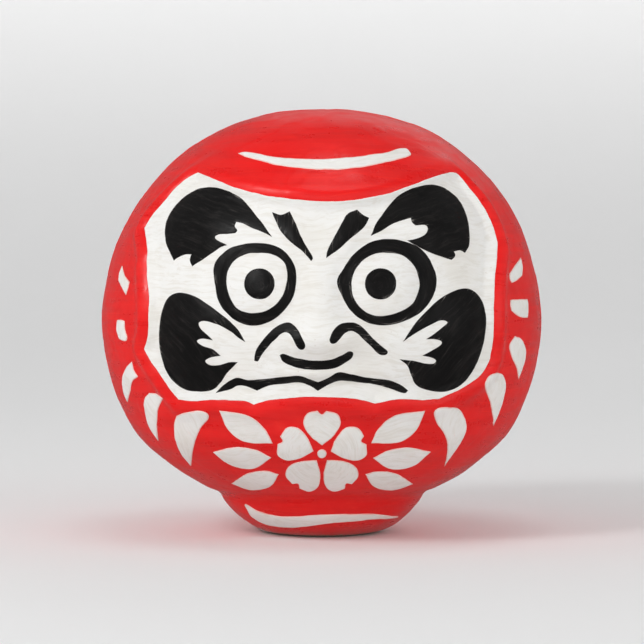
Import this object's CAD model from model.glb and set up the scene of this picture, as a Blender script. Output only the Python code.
"""Daruma doll: the looks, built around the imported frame.

Lengths in the tables and the surface maths are millimetres; meshes are made in metres in
the frame's axes: +Z up, the face looks along -Y, origin at the centre of the underside.
"Left" and "right" are as seen by someone facing the doll.
"""

import math

import bmesh
import bpy
import numpy as np
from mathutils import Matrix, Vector
from mathutils.geometry import delaunay_2d_cdt


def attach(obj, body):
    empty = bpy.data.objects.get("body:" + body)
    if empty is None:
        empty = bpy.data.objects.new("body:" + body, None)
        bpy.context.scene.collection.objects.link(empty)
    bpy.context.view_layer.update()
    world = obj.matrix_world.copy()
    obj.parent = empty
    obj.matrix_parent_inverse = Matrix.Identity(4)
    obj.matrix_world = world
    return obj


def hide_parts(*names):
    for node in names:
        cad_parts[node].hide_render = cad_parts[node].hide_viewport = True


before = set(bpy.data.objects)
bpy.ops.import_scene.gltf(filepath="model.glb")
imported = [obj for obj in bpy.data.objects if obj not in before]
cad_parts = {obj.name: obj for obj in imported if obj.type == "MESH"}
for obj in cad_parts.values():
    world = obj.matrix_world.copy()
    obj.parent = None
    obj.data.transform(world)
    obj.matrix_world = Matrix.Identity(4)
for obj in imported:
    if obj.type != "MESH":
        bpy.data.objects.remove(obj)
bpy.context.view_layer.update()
MM = 0.001

# ---------------------------------------------------------------- sizes shared with the CAD
DEPTH_RATIO = 0.95
WALL = 1.8
ARC_R = 80.0
HOLE_R = 30.0
FLOOR_TOP = 17.26
COAT_T = 0.26
INK_T = 0.18
BODY = [
    (37.0, 15.5), (42.0, 16.6), (47.5, 19.2), (53.5, 22.8), (61.0, 28.6), (68.8, 36.0),
    (75.0, 46.2), (79.2, 57.0), (82.1, 70.0), (83.0, 82.0), (81.5, 94.5), (78.4, 106.0),
    (73.3, 118.0), (65.8, 130.0), (56.0, 140.6), (44.6, 149.0), (30.2, 155.6),
    (16.0, 159.1), (0.0, 160.0),
]
FOOT = [
    (18.0, 0.0), (23.5, 0.9), (28.6, 3.6), (33.2, 7.2), (36.6, 11.0), (38.5, 14.0),
    (39.0, 15.5),
]

# ---------------------------------------------------------------- painted shapes
# Each is a closed chain of runs of (x, z), seen square from the front: smooth inside a run,
# a corner where runs meet.
WINDOW = [
    [(-45.1, 135.5), (-38.9, 132.9), (-29.9, 129.3), (-19.5, 126.7), (-9.2, 125.2),
     (1.1, 124.5), (11.4, 125.2), (21.7, 127), (32, 130.3), (39.8, 133.4), (46.5, 135.6)],
    [(46.5, 135.6), (49.4, 135.1), (51.6, 132.9), (56, 127.4), (59.8, 121.6), (62.3, 116.1),
     (63.9, 109.9), (63.4, 104.8), (62.6, 99.6), (61.9, 91.9), (61.6, 81.6), (61.3, 73.2),
     (60.5, 68.3)],
    [(60.5, 68.3), (57.8, 63.3), (53.7, 59.9), (48.5, 57), (41.7, 54.2)],
    [(41.7, 54.2), (34.6, 54.1), (26.9, 54.6), (18.7, 53.2)],
    [(18.7, 53.2), (14.6, 54.5), (8.8, 55.4), (1.1, 55.8), (-6.7, 55.8), (-14.4, 55.1),
     (-19.5, 54.4), (-24.1, 52.6)],
    [(-24.1, 52.6), (-27.3, 53.9), (-32.4, 54), (-40.2, 53.9), (-45.3, 53.3), (-51.5, 53.5)],
    [(-51.5, 53.5), (-54.4, 56.7), (-58.2, 62.2), (-61.5, 66.8), (-64.4, 71.5)],
    [(-64.4, 71.5), (-63.1, 75.8), (-62.7, 81.6), (-62.6, 89.3), (-63.1, 96.4), (-63.6, 102.2),
     (-63.3, 106.1), (-64, 111.2), (-64.9, 115.1)],
    [(-64.9, 115.1), (-62.9, 118.7), (-58.2, 124.1), (-53.1, 129.5), (-48.4, 133.7),
     (-45.1, 135.5)],
]
BROW_LEFT = [
    [(-17.6, 111.9), (-20.8, 116.4), (-24.4, 120.9), (-28.6, 125.4), (-33.7, 128.3),
     (-40.2, 129.8), (-45.3, 128.8), (-49.8, 126.2), (-53.7, 122.2), (-56.2, 117.7),
     (-56.7, 113.2), (-55.9, 108.7), (-53.3, 103.4)],
    [(-53.3, 103.4), (-51.8, 104.5), (-49.2, 105.6), (-46.8, 105.7)],
    [(-46.8, 105.7), (-47.3, 103.5), (-46.4, 101.4)],
    [(-46.4, 101.4), (-42.8, 103.5), (-38.9, 106.1), (-35.9, 108.1), (-33.5, 109)],
    [(-33.5, 109), (-35.5, 109.9), (-37.6, 111), (-38.1, 112.1), (-36.3, 112.9), (-33.7, 113),
     (-30.8, 113.3)],
    [(-30.8, 113.3), (-30, 114.3), (-31, 115.9), (-30.4, 117.4)],
    [(-30.4, 117.4), (-27.9, 116.7), (-24.7, 115.1), (-20.8, 113.6), (-17.6, 111.9)],
]
BROW_RIGHT = [
    [(17.1, 112.4), (19.4, 117), (23, 122.1), (27.5, 126.7), (33.3, 129.5), (39.8, 130.6),
     (45.2, 129.2), (49.6, 125.4), (52.4, 119.6), (53.3, 113.8), (52.9, 108.9), (51.2, 106.2)],
    [(51.2, 106.2), (49.3, 107), (47, 106.6)],
    [(47, 106.6), (47.4, 105), (46, 103.6)],
    [(46, 103.6), (40, 105.6), (34, 108.4), (30, 110.6)],
    [(30, 110.6), (33.3, 111.2), (36.2, 112.5), (37.4, 114.5), (36.4, 115.9), (33.1, 115.9)],
    [(33.1, 115.9), (31.9, 117), (31.5, 118.6)],
    [(31.5, 118.6), (28.8, 117.9), (24.9, 116.4), (21.1, 114.2), (17.1, 112.4)],
]
FROWN_LEFT = [
    [(-17.7, 120.6), (-14.6, 119.7), (-11.4, 120.9)],
    [(-11.4, 120.9), (-9.2, 116.4), (-6.7, 110.7), (-3.3, 105), (-3.8, 103.4)],
    [(-3.8, 103.4), (-6.7, 106.7), (-11.2, 110.3), (-14.4, 113.8), (-16.3, 117.2),
     (-17.7, 120.6)],
]
FROWN_RIGHT = [
    [(12.4, 121.7), (14.2, 120), (16.7, 118.7)],
    [(16.7, 118.7), (15, 115.5), (11.1, 112.3), (6.2, 107.9), (1.5, 104.5)],
    [(1.5, 104.5), (1.9, 107.1), (4.3, 111.9), (7.3, 117.4), (9.3, 120.3), (12.4, 121.7)],
]
# Eye rings: outside, then the hole through which the white shows. One closed run each.
RING_LEFT = [
    [(-38.2, 100.9), (-36.3, 104.8), (-32.4, 108), (-27.3, 109.4), (-21.5, 109.7),
     (-15.9, 108.5), (-11.8, 105.4), (-9.4, 100.9), (-9, 95.8), (-10.4, 90.3), (-13.6, 85.7),
     (-18.3, 82.2), (-24.1, 80.7), (-29.6, 82), (-33.7, 85.2), (-36.6, 89.3), (-37.7, 94.5),
     (-38.2, 100.9)],
]
RING_LEFT_HOLE = [
    [(-33.7, 96.4), (-32.7, 101.2), (-29.2, 104.8), (-24.4, 106.2), (-18, 105.9),
     (-13.4, 103.1), (-12.2, 98.3), (-13, 93.2), (-15.6, 88.8), (-19.5, 86.2), (-24.7, 85.2),
     (-29.6, 86.7), (-32.6, 90.9), (-33.7, 96.4)],
]
RING_RIGHT = [
    [(5.3, 95.8), (7.3, 100.5), (10.8, 105.4), (15.5, 109.3), (21.7, 111.2), (28.2, 110.6),
     (34.6, 107.9), (39, 102.2), (40.4, 95.8), (38.7, 90), (34.9, 85.4), (29.7, 82.6),
     (23, 80.9), (16.6, 81.6), (11.4, 84.7), (8, 89.3), (5.3, 95.8)],
]
RING_RIGHT_HOLE = [
    [(10.4, 94.9), (11.4, 99.6), (14.2, 103.4), (18.1, 105.8), (23.3, 106.3), (28.8, 105.2),
     (32.7, 101.3), (34.3, 95.8), (33.4, 91), (30.7, 87.4), (25.6, 85.1), (19.8, 84.2),
     (14.8, 86), (11.5, 89.8), (10.4, 94.9)],
]
# Pupils: centre x, centre z, radius.
PUPIL_LEFT = (-22, 95.5, 5.42)
PUPIL_RIGHT = (20.6, 95.5, 5.54)
NOSE_LEFT = [
    [(-23.8, 68.4), (-23.2, 71.9), (-20.6, 75.8), (-17.2, 79.5), (-13.7, 81.7), (-11, 82),
     (-8.7, 80), (-6.9, 76.8), (-5.8, 74.2), (-6.3, 72.8), (-7.7, 72.7), (-9, 74.2),
     (-10.3, 76.8), (-11.8, 78.5), (-13.7, 78.4), (-16.3, 76.2), (-19, 73.3), (-21.1, 70.6),
     (-22.5, 68.3), (-23.8, 68.4)],
]
NOSE_RIGHT = [
    [(2.6, 76.2), (3.7, 79), (5.9, 81.3), (9.1, 82.1), (12, 81.7), (14.9, 79.5), (17.8, 76.4),
     (20.7, 73.8), (23, 71.9), (22.5, 70.6), (20.2, 70.7), (17.8, 72.8), (15, 75.6),
     (12.4, 78.1), (10.1, 79.1), (7.8, 78.2), (6.1, 76.3), (4.6, 74.9), (3.1, 75), (2.6, 76.2)],
]
LIP = [
    [(-14.8, 70.4), (-13.6, 71), (-10.8, 70.1), (-6.7, 69.1), (-1.5, 68.7), (3.7, 69.2),
     (7, 70.6), (9.3, 72), (10.9, 71.5), (10.6, 69.7), (8.2, 67.9), (4.3, 66.1), (-0.9, 65.5),
     (-6.7, 65.8), (-10.8, 66.9), (-13.7, 68.3), (-14.8, 70.4)],
]
MOUTH = [
    [(-37.9, 56.4), (-35, 59.3), (-32.1, 61.3), (-29.6, 62.1), (-26, 61.3), (-20.6, 61.9),
     (-14.4, 62.8), (-7.9, 63.3), (-4.5, 62.2), (-1.4, 61.1)],
    [(-1.4, 61.1), (1.7, 62.4), (5.9, 64.6), (10.4, 63.7), (16.6, 62.4), (23, 61.6),
     (27.3, 60), (30.4, 57.6)],
    [(30.4, 57.6), (29.1, 56.7), (25.6, 57.9), (19.1, 59.9), (12.7, 60.9), (6.6, 61.5),
     (2.6, 60.2), (-1.4, 58.1)],
    [(-1.4, 58.1), (-4.6, 59.8), (-7.9, 60.9), (-14.4, 60.3), (-19, 59.5), (-23, 57.6)],
    [(-23, 57.6), (-26, 58.9), (-29.6, 59.3), (-33.5, 57.6), (-37.9, 56.4)],
]
MOUSTACHE_LEFT = [
    [(-26.9, 75), (-29.9, 79.6), (-34.8, 84), (-40.2, 88), (-45.3, 90.9), (-50.9, 92),
     (-54.9, 90.6), (-57.2, 86.7), (-58.2, 81.6), (-58.6, 76.2), (-58, 70), (-56.2, 64.2),
     (-53.1, 59.8), (-49.2, 57.3), (-44, 56.7), (-38.9, 57.6), (-36.2, 60.2), (-33.7, 63.8),
     (-29.7, 67.8)],
    [(-29.7, 67.8), (-32.7, 67.7), (-36.3, 66.6), (-39.9, 66.5), (-41.6, 67.9), (-39.5, 69.2),
     (-35.9, 70)],
    [(-35.9, 70), (-38.6, 72.2), (-42.2, 73.3), (-44.4, 75), (-42.2, 75.9), (-38.6, 75.4)],
    [(-38.6, 75.4), (-40.6, 77.3), (-43, 79.5), (-43.7, 81.5), (-41.2, 82.1), (-37, 81.1),
     (-32.4, 78.7), (-29.1, 76.3), (-26.9, 75)],
]
MOUSTACHE_RIGHT = [
    [(28.5, 75), (32, 80.2), (37.2, 86.1), (42.6, 90.6), (49, 93.3), (53.9, 92.7),
     (57.3, 88.7), (58.7, 82.9), (58.2, 76.4), (56.5, 69.3), (53.4, 63), (48.8, 58.5),
     (43.2, 56.7), (37.2, 57.6), (33.3, 59.5), (31.4, 63.3), (30.1, 66.6), (27.3, 68.9)],
    [(27.3, 68.9), (32, 68.3), (36.9, 67.1), (39.8, 67), (40.5, 68.2), (38.7, 69.2), (35.6, 70)],
    [(35.6, 70), (38.9, 71.7), (42.1, 73.6), (42.2, 75), (39.8, 75.8), (36.9, 75.9)],
    [(36.9, 75.9), (40.2, 78.1), (43, 80.2), (44.4, 81.8), (42.1, 82.4), (38.5, 80.9),
     (33.3, 78.2), (28.5, 75)],
]
HOOD = [
    [(-30.8, 142.7), (-27.3, 143), (-19.5, 141.3), (-11.8, 140.2), (-4.1, 139.7), (5, 140),
     (14, 140.9), (23, 142.2), (27.1, 143.6), (30.5, 144.1), (32.2, 142.4), (32, 141.4),
     (28.8, 140.1), (23, 138.6), (15.3, 137), (6.2, 136.1), (-4.1, 136.1), (-14.4, 137.3),
     (-22.1, 139.3), (-27.9, 141.2), (-30.8, 142.7)],
]
# Robe strokes, from the shoulder down to the belly.
ROBE_LEFT = [
    [
        [(-73.8, 101.3), (-72.4, 97.8), (-70.3, 95.5)],
        [(-70.3, 95.5), (-70.9, 93.2), (-71.8, 90.7)],
        [(-71.8, 90.7), (-73.6, 93.4), (-75.2, 95.8)],
        [(-75.2, 95.8), (-74.9, 98.6), (-73.8, 101.3)],
    ],
    [
        [(-75.6, 81.3), (-74.1, 81.6), (-72.5, 81.2)],
        [(-72.5, 81.2), (-72.4, 78.4), (-71.4, 75.6)],
        [(-71.4, 75.6), (-71.6, 74.2), (-72.9, 73.8), (-74.9, 74.4)],
        [(-74.9, 74.4), (-75.9, 77.7), (-75.6, 81.3)],
    ],
    [
        [(-69.7, 66.5), (-68.9, 63.3), (-67.4, 60.9)],
        [(-67.4, 60.9), (-69.7, 58.8), (-70.9, 55.1), (-72.4, 50.4)],
        [(-72.4, 50.4), (-74, 54.5), (-74.1, 59.4), (-72.4, 63.5), (-69.7, 66.5)],
    ],
    [
        [(-63.1, 55.1), (-60.2, 55.1), (-57.5, 53.7)],
        [(-57.5, 53.7), (-59.3, 50.4), (-60.4, 44.8), (-60.7, 36.3)],
        [(-60.7, 36.3), (-63.9, 41.9), (-65.3, 47.8), (-65.1, 52.6), (-63.1, 55.1)],
    ],
    [
        [(-52.4, 47.4), (-48.6, 49.1), (-44, 49.9), (-41.1, 49), (-40.7, 47), (-43.8, 42.9),
         (-46.5, 36.2), (-48.4, 27.3)],
        [(-48.4, 27.3), (-51.7, 31.8), (-53.6, 37.5), (-53.8, 43.4), (-52.4, 47.4)],
    ],
]
ROBE_RIGHT = [
    [
        [(73.2, 104.3), (73.9, 100.9), (73.7, 97.8)],
        [(73.7, 97.8), (71.4, 96), (69.2, 95.2)],
        [(69.2, 95.2), (68.3, 96.7), (68.3, 98.5)],
        [(68.3, 98.5), (70.7, 101.4), (73.2, 104.3)],
    ],
    [
        [(68.4, 89.1), (72, 89.2), (75.6, 89.1)],
        [(75.6, 89.1), (75.9, 85.7), (75.5, 82.2)],
        [(75.5, 82.2), (72.3, 82.6), (68.8, 85.1)],
        [(68.8, 85.1), (68.3, 87), (68.4, 89.1)],
    ],
    [
        [(70.3, 75.9), (73.2, 74.2), (75, 70), (74.3, 64.8), (72.5, 59.4)],
        [(72.5, 59.4), (71, 64), (68.9, 68.7), (68.1, 72.8), (70.3, 75.9)],
    ],
    [
        [(63, 63), (65.8, 61.6), (67, 57.1), (65.9, 50.4), (63, 42.4)],
        [(63, 42.4), (62.1, 47.8), (60.7, 53.2), (58.6, 57.7), (59, 60.6), (60.8, 62.4),
         (63, 63)],
    ],
    [
        [(44.3, 51.4), (49.4, 50), (52.1, 44.8), (51.2, 38.8), (44.9, 27.6)],
        [(44.9, 27.6), (45.6, 33.9), (44.3, 40.3), (41.1, 45.2), (39.9, 49.2), (41.3, 51),
         (44.3, 51.4)],
    ],
]
# Belly ornament: a plain five-petalled blossom between two leaf sprays.
BLOSSOM_C = (0.0, 34.6)
PETAL = [[(0, 3.2), (4.2, 6.8), (6.6, 11.2), (5.4, 15), (1.6, 16.2)],
         [(1.6, 16.2), (0, 14.8), (-1.6, 16.2)],
         [(-1.6, 16.2), (-5.4, 15), (-6.6, 11.2), (-4.2, 6.8), (0, 3.2)]]
PISTIL_R = 1.7
LEAVES = [
    [[(17.6, 38.4), (20.4, 44), (26, 48.6), (36.6, 50.2)],
     [(36.6, 50.2), (33.6, 43.0), (27.4, 38.6), (17.6, 38.4)]],
    [[(18.2, 32.8), (24, 35.7), (31.6, 36.5), (39.4, 34.2)],
     [(39.4, 34.2), (33.2, 29.0), (24.6, 28.2), (18.2, 32.8)]],
    [[(15.6, 26.2), (20.6, 27.4), (27.2, 26), (33.4, 21.2)],
     [(33.4, 21.2), (26, 19), (19.2, 20.8), (15.6, 26.2)]],
]
# Brush line on the foot: centre line, then half-width along it.
FOOT_LINE = ([(-28.4, 12.2), (-24.6, 8.6), (-18, 6.6), (-8, 6.9), (4, 8.4), (16, 8.5), (28, 7.4)],
             [0.5, 2.0, 2.5, 2.3, 1.8, 1.3, 0.4])


# ---------------------------------------------------------------- curves
def natural_spline(pts, n):
    p = np.array(pts, float)
    t = np.r_[0, np.cumsum(np.hypot(*np.diff(p, axis=0).T))]
    h = np.diff(t)
    m = len(p)
    a = np.zeros((m, m))
    a[0, 0] = a[-1, -1] = 1
    rhs = np.zeros((m, 2))
    for i in range(1, m - 1):
        a[i, i - 1], a[i, i], a[i, i + 1] = h[i - 1], 2 * (h[i - 1] + h[i]), h[i]
        rhs[i] = 6 * ((p[i + 1] - p[i]) / h[i] - (p[i] - p[i - 1]) / h[i - 1])
    a[-1, -2:] = h[-1], 2 * h[-1]
    rhs[-1] = 6 * (np.array([-1.0, 0.0]) - (p[-1] - p[-2]) / h[-1])
    c = np.linalg.solve(a, rhs)
    s = np.linspace(0, t[-1], n)
    k = np.clip(np.searchsorted(t, s, side="right") - 1, 0, m - 2)
    u, v = (s - t[k])[:, None], (t[k + 1] - s)[:, None]
    hk = h[k][:, None]
    return (c[k] * v**3 + c[k + 1] * u**3) / (6 * hk) + (p[k] / hk - c[k] * hk / 6) * v + (
        p[k + 1] / hk - c[k + 1] * hk / 6
    ) * u


def catmull(points, n=8):
    p = [np.array(q, float) for q in points]
    if len(p) == 2:
        return [tuple(p[0] + (p[1] - p[0]) * k / n) for k in range(n + 1)]
    p = [2 * p[0] - p[1]] + p + [2 * p[-1] - p[-2]]
    out = []
    for i in range(1, len(p) - 2):
        for k in range(n):
            t = k / n
            out.append(tuple(0.5 * (2 * p[i] + (p[i + 1] - p[i - 1]) * t
                       + (2 * p[i - 1] - 5 * p[i] + 4 * p[i + 1] - p[i + 2]) * t * t
                       + (3 * p[i] - p[i - 1] - 3 * p[i + 1] + p[i + 2]) * t**3)))
    out.append(tuple(p[-2]))
    return out


def outline(runs, n=8):
    pts = []
    for run in runs:
        pts += catmull(run, n)[:-1]
    return np.array(pts)


def closed_loop(runs, n=8):
    """A single run whose last point repeats its first, smooth all the way round."""
    p = runs[0][:-1]
    p = [p[-1]] + list(p) + [p[0], p[1]]
    q = [np.array(v, float) for v in p]
    out = []
    for i in range(1, len(q) - 2):
        for k in range(n):
            t = k / n
            out.append(0.5 * (2 * q[i] + (q[i + 1] - q[i - 1]) * t
                       + (2 * q[i - 1] - 5 * q[i] + 4 * q[i + 1] - q[i + 2]) * t * t
                       + (3 * q[i] - q[i - 1] - 3 * q[i + 1] + q[i + 2]) * t**3))
    return np.array(out)


def circle(cx, cz, r, n=64):
    a = np.linspace(0, 2 * math.pi, n, endpoint=False)
    return np.c_[cx + r * np.cos(a), cz + r * np.sin(a)]


def mirrored(runs):
    return [[(-x, z) for x, z in run] for run in runs]


def spun(runs, degrees, centre):
    c, s = math.cos(math.radians(degrees)), math.sin(math.radians(degrees))
    cx, cz = centre
    return [[(cx + x * c - z * s, cz + x * s + z * c) for x, z in run] for run in runs]


def brush_outline(line, n=8):
    centre = np.array(catmull(line[0], n))
    width = np.array([q[0] for q in catmull([(w, 0) for w in line[1]], n)])
    tangent = np.gradient(centre, axis=0)
    tangent /= np.linalg.norm(tangent, axis=1)[:, None]
    normal = np.c_[-tangent[:, 1], tangent[:, 0]]
    left = centre + normal * width[:, None]
    right = centre - normal * width[:, None]
    ends = []
    for c0, t0, w0, sign in ((centre[-1], tangent[-1], width[-1], 1),
                             (centre[0], tangent[0], width[0], -1)):
        n0 = np.array([-t0[1], t0[0]])
        ends.append([c0 + w0 * (sign * math.cos(a) * n0 + sign * math.sin(a) * t0)
                     for a in np.linspace(0.5, math.pi - 0.5, 5)])
    return np.vstack([left, np.array(ends[0]), right[::-1], np.array(ends[1])])


def smooth(e0, e1, x):
    t = np.clip((x - e0) / (e1 - e0), 0, 1)
    return t * t * (3 - 2 * t)


_tables = {}


def noise3(p, cell, seed):
    """Smooth value noise from -1 to 1 at points p (mm), with lattice spacing cell."""
    if seed not in _tables:
        _tables[seed] = np.random.default_rng(seed).uniform(-1, 1, (48, 48, 48))
    tab = _tables[seed]
    q = np.asarray(p, float) / cell + 24.37
    i = np.floor(q).astype(int)
    f = q - i
    f = f * f * f * (f * (6 * f - 15) + 10)
    out = 0.0
    for dx in (0, 1):
        for dy in (0, 1):
            for dz in (0, 1):
                w = ((f[:, 0] if dx else 1 - f[:, 0]) * (f[:, 1] if dy else 1 - f[:, 1])
                     * (f[:, 2] if dz else 1 - f[:, 2]))
                out = out + w * tab[(i[:, 0] + dx) % 48, (i[:, 1] + dy) % 48,
                                    (i[:, 2] + dz) % 48]
    return out


# ---------------------------------------------------------------- the body's surface
PROFILE = natural_spline(BODY, 2401)
_g = np.gradient(PROFILE, axis=0)
_n = np.c_[_g[:, 1], -_g[:, 0]]
PROFILE_N = _n / np.linalg.norm(_n, axis=1)[:, None]
PROFILE_N[-1] = (0.0, 1.0)
PROFILE_L = float(np.sum(np.hypot(*np.diff(PROFILE, axis=0).T)))
T_KEYS = np.linspace(0, 1, len(PROFILE))


def profile(t, d=0.0):
    r = np.interp(t, T_KEYS, PROFILE[:, 0]) + d * np.interp(t, T_KEYS, PROFILE_N[:, 0])
    z = np.interp(t, T_KEYS, PROFILE[:, 1]) + d * np.interp(t, T_KEYS, PROFILE_N[:, 1])
    return r, z


def body_radius(z):
    return np.interp(z, PROFILE[:, 1], PROFILE[:, 0])


def signed_distance(u, z, poly):
    """Distance from each (u, z) to a closed polygon, positive inside."""
    p = np.asarray(poly, float)
    q = np.roll(p, -1, axis=0)
    best = np.full(u.shape, 1e9)
    inside = np.zeros(u.shape, bool)
    for (x0, z0), (x1, z1) in zip(p, q):
        dx, dz = x1 - x0, z1 - z0
        t = np.clip(((u - x0) * dx + (z - z0) * dz) / max(dx * dx + dz * dz, 1e-12), 0, 1)
        best = np.minimum(best, np.hypot(u - x0 - t * dx, z - z0 - t * dz))
        if abs(dz) > 1e-12:
            crosses = (z0 > z) != (z1 > z)
            inside ^= crosses & (u < (x1 - x0) * (z - z0) / dz + x0)
    return np.where(inside, best, -best)


def bump(x, z, cx, cz, rx, rz, h, angle=0.0, power=2.0):
    c, s = math.cos(math.radians(angle)), math.sin(math.radians(angle))
    a = ((x - cx) * c + (z - cz) * s) / rx
    b = (-(x - cx) * s + (z - cz) * c) / rz
    return h * np.exp(-((a * a + b * b) ** (power / 2)))


_w = outline(WINDOW, 6)
WINDOW_ARC = np.c_[
    ARC_R * np.arcsin(np.clip(_w[:, 0] / body_radius(_w[:, 1]), -0.999, 0.999)), _w[:, 1]]


def relief(theta, z):
    """How far the moulded paper stands out of the plain body, at an angle and a height."""
    theta = np.asarray(theta, float)
    z = np.asarray(z, float)
    out = np.zeros(theta.shape)
    sel = np.abs(theta) < math.radians(88)
    th, zz = theta[sel], z[sel]
    u = ARC_R * th
    x = body_radius(zz) * np.sin(th)
    near = (np.abs(u) < 95) & (zz > 34) & (zz < 155)
    s = np.full(u.shape, -30.0)
    s[near] = signed_distance(u[near], zz[near], WINDOW_ARC)
    o = -2.3 * smooth(-0.6, 4.4, s)
    o += 1.9 * np.exp(-(((s + 3.2) / 3.4) ** 2))
    o += bump(x, zz, 0, 131, 30, 7.5, 1.6)
    for side in (-1, 1):
        o += bump(x, zz, side * 38, 116.5, 17, 9, 2.2, angle=side * 12)
        o += bump(x, zz, side * 10, 112.5, 5, 9, 1.5, angle=-side * 28)
        o += bump(x, zz, side * 47, 73.5, 12, 15, 2.4)
    for cx, cz in ((-23.4, 95.2), (22.4, 95.2)):
        rho = np.hypot(x - cx, zz - cz)
        o += 2.3 * np.exp(-((rho / 10.5) ** 3.2)) - 0.8 * np.exp(-(((rho - 15.5) / 3.0) ** 2))
    o += bump(x, zz, -1.0, 75.5, 10.5, 6.6, 5.2)
    o += bump(x, zz, -0.6, 89, 6.2, 13, 2.4)
    o += bump(x, zz, -10.2, 75.5, 4.6, 4.6, 1.6) + bump(x, zz, 8.4, 75.5, 4.6, 4.6, 1.6)
    o += bump(x, zz, -1.0, 64.2, 16, 2.6, 1.3)
    o -= bump(x, zz, -1.0, 60.2, 32, 1.7, 0.8, power=2.6)
    out[sel] = o * smooth(math.radians(88), math.radians(80), np.abs(th))
    return out


def unevenness(p):
    """Slow waves of hand-laid paper, and the faint steps where pasted scraps lap."""
    w = 0.34 * noise3(p, 26.0, 1) + 0.17 * noise3(p, 11.0, 2) + 0.06 * noise3(p, 5.0, 3)
    lap = noise3(p, 17.0, 4) + 0.35 * noise3(p, 7.0, 5)
    w += 0.11 * (smooth(-0.05, 0.05, lap) - 0.5)
    lap = noise3(p, 21.0, 6) + 0.35 * noise3(p, 8.0, 7)
    w += 0.10 * (smooth(-0.05, 0.05, lap) - 0.5)
    return w


def body_point(theta, t, d=0.0):
    """Points on the body's surface, moved d out of it, in mm."""
    theta, t = np.broadcast_arrays(np.asarray(theta, float), np.asarray(t, float))
    r0, z0 = profile(t)
    r, z = profile(t, d)
    base = np.c_[(r0 * np.sin(theta)).ravel(), (-DEPTH_RATIO * r0 * np.cos(theta)).ravel(),
                 z0.ravel()]
    w = unevenness(base).reshape(theta.shape) * smooth(15.5, 24.0, z0)
    rho = r + relief(theta, z0)
    nr, nz = (np.interp(t, T_KEYS, PROFILE_N[:, k]) for k in (0, 1))
    rho = rho + w * nr
    z = z + w * nz
    return np.stack([rho * np.sin(theta), -DEPTH_RATIO * rho * np.cos(theta), z], axis=-1)


def body_param(x, z):
    """Angle and profile parameter of the surface point seen at (x, z) from the front."""
    x, z = np.asarray(x, float), np.asarray(z, float)
    t = np.interp(z, PROFILE[:, 1], T_KEYS)
    theta = np.arcsin(np.clip(x / body_radius(z), -0.999, 0.999))
    for _ in range(6):
        rho = body_radius(z) + relief(theta, z)
        theta = 0.5 * theta + 0.5 * np.arcsin(np.clip(x / rho, -0.999, 0.999))
    return theta, t


class BodySurface:
    """Flat working plane (arc length round, arc length up) over the body."""

    @staticmethod
    def flatten(pts):
        theta, t = body_param(pts[:, 0], pts[:, 1])
        return np.c_[ARC_R * theta, PROFILE_L * t]

    @staticmethod
    def point(uv, d):
        return body_point(uv[:, 0] / ARC_R, uv[:, 1] / PROFILE_L, d)


FOOT_PTS = np.array(catmull(FOOT, 24))
_g = np.gradient(FOOT_PTS, axis=0)
FOOT_N = np.c_[_g[:, 1], -_g[:, 0]]
FOOT_N /= np.linalg.norm(FOOT_N, axis=1)[:, None]
FOOT_S = np.r_[0, np.cumsum(np.hypot(*np.diff(FOOT_PTS, axis=0).T))]


def foot_point(theta, s, d=0.0):
    theta, s = np.broadcast_arrays(np.asarray(theta, float), np.asarray(s, float))
    r = np.interp(s, FOOT_S, FOOT_PTS[:, 0])
    z = np.interp(s, FOOT_S, FOOT_PTS[:, 1])
    nr = np.interp(s, FOOT_S, FOOT_N[:, 0])
    nz = np.interp(s, FOOT_S, FOOT_N[:, 1])
    base = np.c_[(r * np.sin(theta)).ravel(), (-r * np.cos(theta)).ravel(), z.ravel()]
    fade = smooth(0.0, 4.0, z) * smooth(15.5, 12.5, z)
    w = (0.35 * noise3(base, 14.0, 11) + 0.12 * noise3(base, 6.0, 12)).reshape(theta.shape)
    w = w * fade + d
    return np.stack([(r + w * nr) * np.sin(theta), -(r + w * nr) * np.cos(theta),
                     z + w * nz], axis=-1)


class FootSurface:
    @staticmethod
    def flatten(pts):
        s = np.interp(pts[:, 1], FOOT_PTS[:, 1], FOOT_S)
        r = np.interp(s, FOOT_S, FOOT_PTS[:, 0])
        return np.c_[34.0 * np.arcsin(np.clip(pts[:, 0] / r, -0.999, 0.999)), s]

    @staticmethod
    def point(uv, d):
        return foot_point(uv[:, 0] / 34.0, uv[:, 1], d)


# ---------------------------------------------------------------- mesh helpers
def make_object(name, verts_mm, faces, attributes=None, smooth_shade=True, recalc=True):
    mesh = bpy.data.meshes.new(name)
    mesh.from_pydata((np.asarray(verts_mm) * MM).tolist(), [], faces)
    if recalc:
        bm = bmesh.new()
        bm.from_mesh(mesh)
        bmesh.ops.recalc_face_normals(bm, faces=bm.faces)
        bm.to_mesh(mesh)
        bm.free()
    mesh.polygons.foreach_set("use_smooth", [smooth_shade] * len(mesh.polygons))
    for key, values in (attributes or {}).items():
        values = np.asarray(values, np.float32)
        kind = "FLOAT" if values.ndim == 1 else "FLOAT_VECTOR"
        a = mesh.attributes.new(key, kind, "POINT")
        a.data.foreach_set("value" if kind == "FLOAT" else "vector", values.ravel())
    mesh.update()
    obj = bpy.data.objects.new(name, mesh)
    bpy.context.scene.collection.objects.link(obj)
    return obj


def stitch(dense, coarse):
    """Triangles between a dense row and a row with a quarter of its segments."""
    faces = []
    for j in range(len(coarse) - 1):
        a, b = coarse[j], coarse[j + 1]
        d = dense[4 * j:4 * j + 5]
        faces += [(d[0], d[1], a), (d[1], d[2], a), (d[2], b, a), (d[2], d[3], b),
                  (d[3], d[4], b)]
    return faces


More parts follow.
